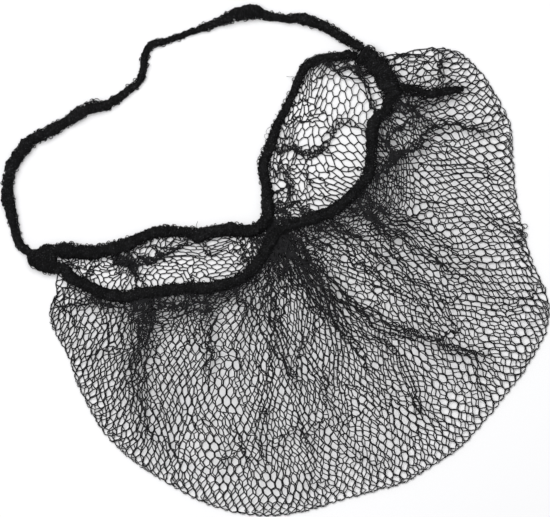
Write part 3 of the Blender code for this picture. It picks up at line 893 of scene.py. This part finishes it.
# Points on a band: the length along it, the angle round its section from the right flank over the
# top, and how far outside the section. The section is a D, round on top, flat below from four fifths
# of the way down. Near an end a point moves along by the slope times its height over the level.
def onBand(shape, there, turn, out):
    there, turn, out = np.broadcast_arrays(there, turn, out)
    read = atLengths(shape["columns"], there)
    wide, base, tall, way = read[..., 2], read[..., 3], read[..., 4], read[..., 5:7]
    way = way / lengthOf(way)
    swell = 1 + 2 * out / wide
    across = np.cos(turn) / 2 * wide * swell
    below, middle = wrap["below"], wrap["level"] * tall
    upward = (np.maximum(np.sin(turn), -below) + below) / (1 + below) * tall
    level = base + np.maximum(middle + (upward - middle) * swell, 0.02)
    atStart = 1 - smoothStep(0.0, wrap["leanReach"], there)
    atStop = 1 - smoothStep(0.0, wrap["leanReach"], shape["total"] - there)
    shift = shape["leaning"] * wrap["lean"] * (level - wrap["leanLevel"]) * (atStop - atStart)
    plan = read[..., :2] + rightOf(way) * across[..., None] + way * shift[..., None]
    return np.concatenate([plan, level[..., None]], axis=-1)


# How far the core's surface lies inside the band's full section there. The core's share is one number,
# or one each for the band's start, middle and end.
def coreDepth(shape, there):
    core = np.interp(there / shape["total"], (0.0, 0.5, 1.0), np.broadcast_to(shape["core"], 3))
    return (1 - core) / 2 * atLengths(shape["columns"], there)[..., 2]


# A tube along the band whose radius has cross ribs, a cosine of the wandering length, and soft lumps.
def bandCore(node, shape, step=0.36, sides=22):
    rings = int(shape["total"] / step)
    there = np.linspace(0.0, shape["total"], rings)[:, None]
    turn = np.arange(sides) * 2 * np.pi / sides
    lumps = softNoise((rings, sides), (2.2 / step, 2.0), shape["seed"])
    small = softNoise((rings, sides), (0.7 / step, 1.2), shape["seed"] + 2)
    wander = 0.45 * softNoise((rings, sides), (3.0 / step, 3.5), shape["seed"] + 1)
    ribs = np.cos(2 * np.pi * (there + wander) / wrap["rib"])
    swell = shape["lump"] * (lumps + small) + wrap["ribDepth"] * ribs
    half = atLengths(shape["columns"], there)[..., 2] / 2
    points = onBand(shape, there, turn, half * swell - coreDepth(shape, there)).reshape(-1, 3)
    ring = np.arange(rings - 1)[:, None] * sides
    this = np.arange(sides)[None, :]
    after = (this + 1) % sides
    walls = np.stack([ring + sides + this, ring + sides + after, ring + after, ring + this], axis=2)
    faces = [walls.reshape(-1, 4), this, this[:, ::-1] + (rings - 1) * sides]
    addPiece(node + "_core", (points, faces), shirredNet, node)


# Threads on a band, with out counted from its core, none lower than the floor or nearer to the band's
# ends than the margin.
def threadsOn(shape, there, turn, out, thick, floor=0.0, margin=0.0):
    out = out - coreDepth(shape, there)
    paths = onBand(shape, np.clip(there, margin, shape["total"] - margin), turn, out)
    paths[..., 2] = np.maximum(paths[..., 2], floor)
    return threadTubes(paths, thick / 2)


# Threads that cross over a band: each goes round the section, zigzagging along the band.
def crossThreads(shape, pitch, wild):
    rng = np.random.default_rng(shape["seed"] + 5)
    total = shape["total"]
    size = count, points = int(total / pitch), wrap["points"]
    turn = np.linspace(-0.75, np.pi + 0.75, points) + rng.normal(0, 0.06, (count, 1))
    middle = (np.arange(count) + 0.5)[:, None] * pitch
    zigzag = np.where((np.arange(points) // 2 + np.arange(count)[:, None]) % 2, 1.0, -1.0)
    slant = rng.normal(0, 0.5, (count, 1)) * np.cos(turn)
    there = middle + wrap["swing"] * zigzag * rng.uniform(0.3, 1.2, size) + wild * slant
    there = np.clip(there + wild * rng.normal(0, 0.16, size), 0.15, total - 0.15)
    loose = wild * np.abs(rng.normal(0, 0.16, size))
    loose += wild * 0.35 * np.maximum(softNoise(size, (0.9, 0.8), shape["seed"] + 6) - 0.8, 0)
    return threadsOn(shape, there, turn, wrap["proud"] + loose, wrap["thread"], wrap["thread"] / 2)


# Small rings off the band, most of them at its flanks: radius times the cosine outward, times the sine
# along the band, with their feet in the core.
def flankLoops(shape, density, size):
    rng = np.random.default_rng(shape["seed"] + 9)
    count = int(shape["total"] * density)
    middle = rng.uniform(0.8, shape["total"] - 0.8, (count, 1))
    side = np.where(rng.random((count, 1)) < 0.5, 0.0, np.pi)
    turn = side + rng.normal(0.0, 0.55, (count, 1)) + np.where(side > 0, -0.25, 0.25)
    radius = np.clip(0.20 + rng.exponential(size - 0.2, (count, 1)), 0.2, 2.0 * size)
    a = np.linspace(-2.5, 2.5, 8)
    there = middle + radius * rng.uniform(0.6, 1.4, (count, 1)) * np.sin(a)
    turn = turn + rng.normal(0.0, 0.22, (count, 1)) * np.sin(a)
    out = radius * (np.cos(a) + 0.55)
    return threadsOn(shape, there, turn, out, wrap["loopThread"], wrap["loopThread"] / 2, margin=0.1)


# Threads along a band from first to last. Each wanders round its section and stands off its core by
# soft noise: a size and a reach for either.
def threadsAlong(shape, first, last, turn, step, wander, spread, seed, sunk=0.0):
    size = len(first), int(shape["total"] / step) + 4
    there = first + (last - first) * np.linspace(0.0, 1.0, size[1])
    turn = turn + wander[0] * softNoise(size, (0.4, wander[1]), shape["seed"] + seed)
    out = np.abs(softNoise(size, (0.4, spread[1]), shape["seed"] + seed + 1)) * spread[0]
    return threadsOn(shape, there, turn, out - sunk, wrap["strand"])


# Threads that run along most of a band, over its top.
def longStrands(shape, count):
    rng = np.random.default_rng(shape["seed"] + 12)
    first = rng.uniform(0.0, 0.35, (count, 1)) * shape["total"]
    last = rng.uniform(0.6, 1.0, (count, 1)) * shape["total"]
    turn = rng.uniform(-0.2, np.pi + 0.2, (count, 1))
    return threadsAlong(shape, first, last, turn, 0.8, (0.5, 2.5), (0.25, 1.5), 13, sunk=0.05)


# Threads beside a band's two flanks, each over a shorter part of its length.
def tangle(shape, count, spread):
    rng = np.random.default_rng(shape["seed"] + 16)
    first = rng.uniform(0.0, 0.7, (count, 1)) * shape["total"]
    last = np.minimum(first + rng.uniform(0.2, 0.5, (count, 1)) * shape["total"], shape["total"])
    turn = np.where(rng.random((count, 1)) < 0.5, -0.2, np.pi + 0.2) + rng.normal(0, 0.35, (count, 1))
    return threadsAlong(shape, first, last, turn, 0.6, (0.4, 5.0), (spread, 5.0), 17)


# A band's core, and round it in one mesh: threads across it, loops, strands along it, a tangle beside it,
# and what else is given.
def addBand(node, shape, extra, pitch=wrap["pitch"], wild=1.0, loops=wrap["loops"], size=0.45, strands=0,
            tangled=0, spread=0.0):
    bandCore(node, shape)
    threads = [crossThreads(shape, pitch, wild), flankLoops(shape, loops, size)]
    if strands:
        threads.append(longStrands(shape, strands))
    if tangled:
        threads.append(tangle(shape, tangled, spread))
    addPiece(node + "_wrap", together(*threads, *extra), shirredNet)


print("scene: bands")
for node, band, line, base, extra in (
    ("head_loop", headLoop, loopLine, 0.0, []),
    ("back_rim", backRim, backLine, 0.0, [fibres(strayFibres)]),
    ("front_rim", frontRim, frontLine, frontBase, []),
    ("left_gather", leftGather, leftCorner, 0.0, []),
    ("right_gather", rightGather, rightCorner, heights["onBackNet"], []),
    ("gather_tail", gatherTail, bandCurve(gatherTail), heights["onFrontNet"], []),
):
    addBand(node, bandShape(band, line, base), extra, **band.get("winding", {}))
# Studio


studio = {
    "floor": 1.6,  # side of the pale square (m)
    "floorLevel": -0.0001,  # its height, just under the net
    "camera": (0.00025, 0.000625, 2.4),
    "lookLevel": 0.004,  # height at which the frame takes in its width
    "frameWidth": 0.275,
    "light": (-0.25, 0.30, 1.35),
    "lightTurn": (-0.22, -0.18, 0.0),
    "lightSize": 1.4,
    "lightPower": 21.2,
    "surround": 0.37,
}


# A pale floor, a wide soft light overhead, a white surround and the camera straight above.
def addStudio():
    half, level = studio["floor"] / 2, studio["floorLevel"]
    mesh = bpy.data.meshes.new("floor")
    corners = [(-half, -half, level), (half, -half, level), (half, half, level), (-half, half, level)]
    mesh.from_pydata(corners, [], [(0, 1, 2, 3)])
    pale = {"Base Color": (0.86, 0.86, 0.87, 1.0), "Roughness": 0.9}
    mesh.materials.append(Shade("paleFloor").finish(pale))
    inScene("floor", mesh)

    light = bpy.data.lights.new("softLight", "AREA")
    light.shape = "DISK"
    light.size = studio["lightSize"]
    light.energy = studio["lightPower"]
    lamp = inScene("softLight", light)
    lamp.location = studio["light"]
    lamp.rotation_euler = studio["lightTurn"]

    world = bpy.data.worlds.new("surround")
    bpy.context.scene.world = world
    world.use_nodes = True
    background = world.node_tree.nodes["Background"]
    background.inputs["Color"].default_value = (1.0, 1.0, 1.0, 1.0)
    background.inputs["Strength"].default_value = studio["surround"]

    lens = bpy.data.cameras.new("camera")
    lens.lens = lens.sensor_width * (studio["camera"][2] - studio["lookLevel"]) / studio["frameWidth"]
    lens.clip_end = 20.0
    camera = inScene("camera", lens)
    camera.location = studio["camera"]
    bpy.context.scene.camera = camera
    bpy.context.scene.view_settings.view_transform = "Standard"


print("scene: studio")
addStudio()
